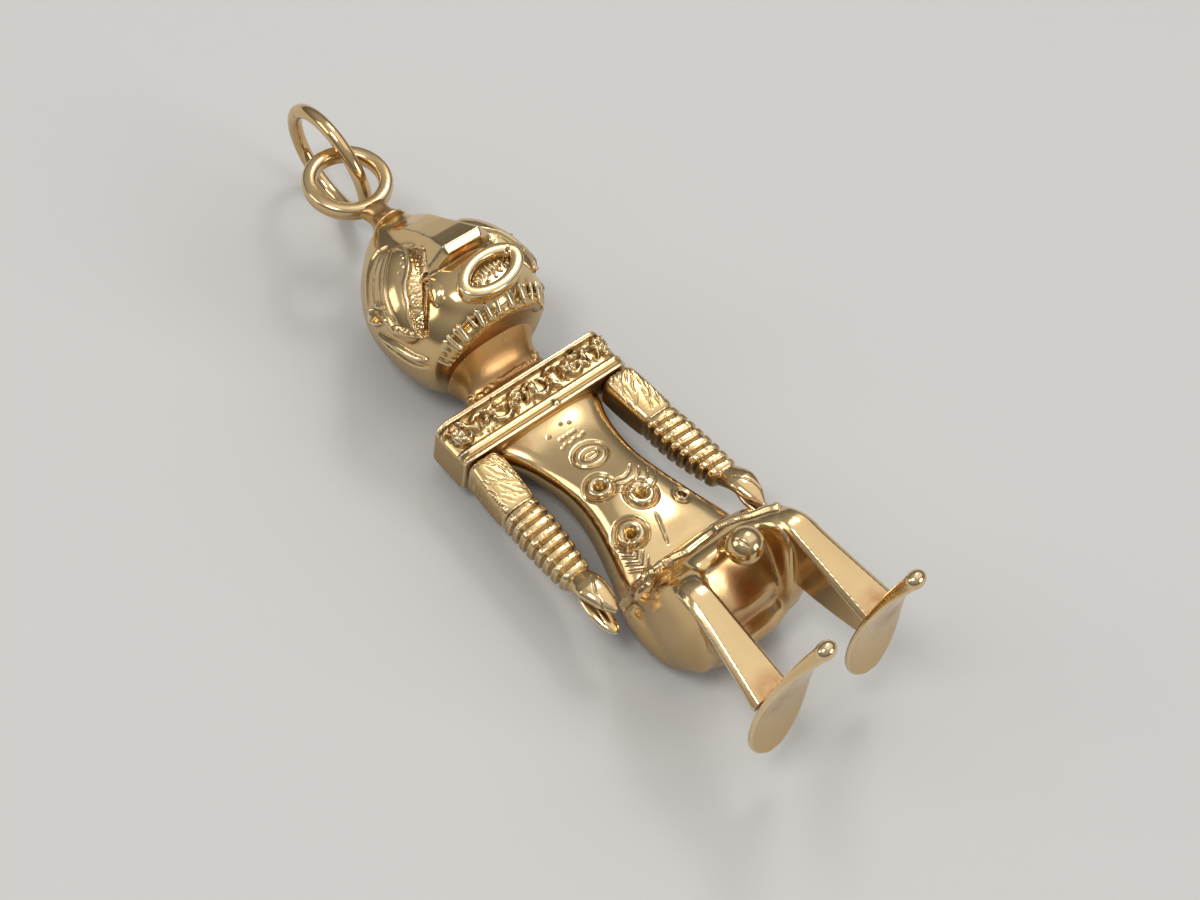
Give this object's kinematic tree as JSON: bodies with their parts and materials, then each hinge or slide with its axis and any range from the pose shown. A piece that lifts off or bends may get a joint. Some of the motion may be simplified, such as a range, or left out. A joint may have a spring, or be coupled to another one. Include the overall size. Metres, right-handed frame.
{
  "type": "figure pendant",
  "caption": "Gold standing idol figure pendant with a large bearded head, straight shoulder bar, ribbed arms, bent strip legs and a free jump ring in its crown eyelet.",
  "frame": {"origin": "the middle of the small flat on the seat's back, on the surface that the figure lies on", "axes": "+X to the figure's left, +Y up the figure towards its ring, +Z out of its front"},
  "size_m": [0.0124, 0.0465, 0.0127],
  "materials": {
    "polished_gold": "polished",
    "textured_gold": "satin",
    "solder_gold": "satin",
    "ring_gold": "polished"
  },
  "bodies": {
    "figure": {"pelvis": "polished_gold", "torso": "polished_gold", "shoulder_bar": "textured_gold", "upper_arm_left": "textured_gold", "upper_arm_right": "textured_gold", "forearm_left": "textured_gold", "forearm_right": "textured_gold", "hand_left": "polished_gold", "hand_right": "polished_gold", "leg_left": "polished_gold", "leg_right": "polished_gold", "foot_left": "polished_gold", "foot_right": "polished_gold", "front_bead": "polished_gold", "neck": "solder_gold", "head": "polished_gold", "mouth_ring": "polished_gold", "beard_band": "textured_gold", "crown_stem": "solder_gold", "eyelet": "polished_gold"},
    "ring": {"jump_ring": "ring_gold"}
  },
  "joints": [
    {"name": "ring_swing", "type": "hinge", "parent": "figure", "child": "ring", "pos_m": [0.00091, 0.03321, 0.0057], "axis": [0.9063, -0.4226, 0], "range_deg": [-40, 140]}
  ]
}
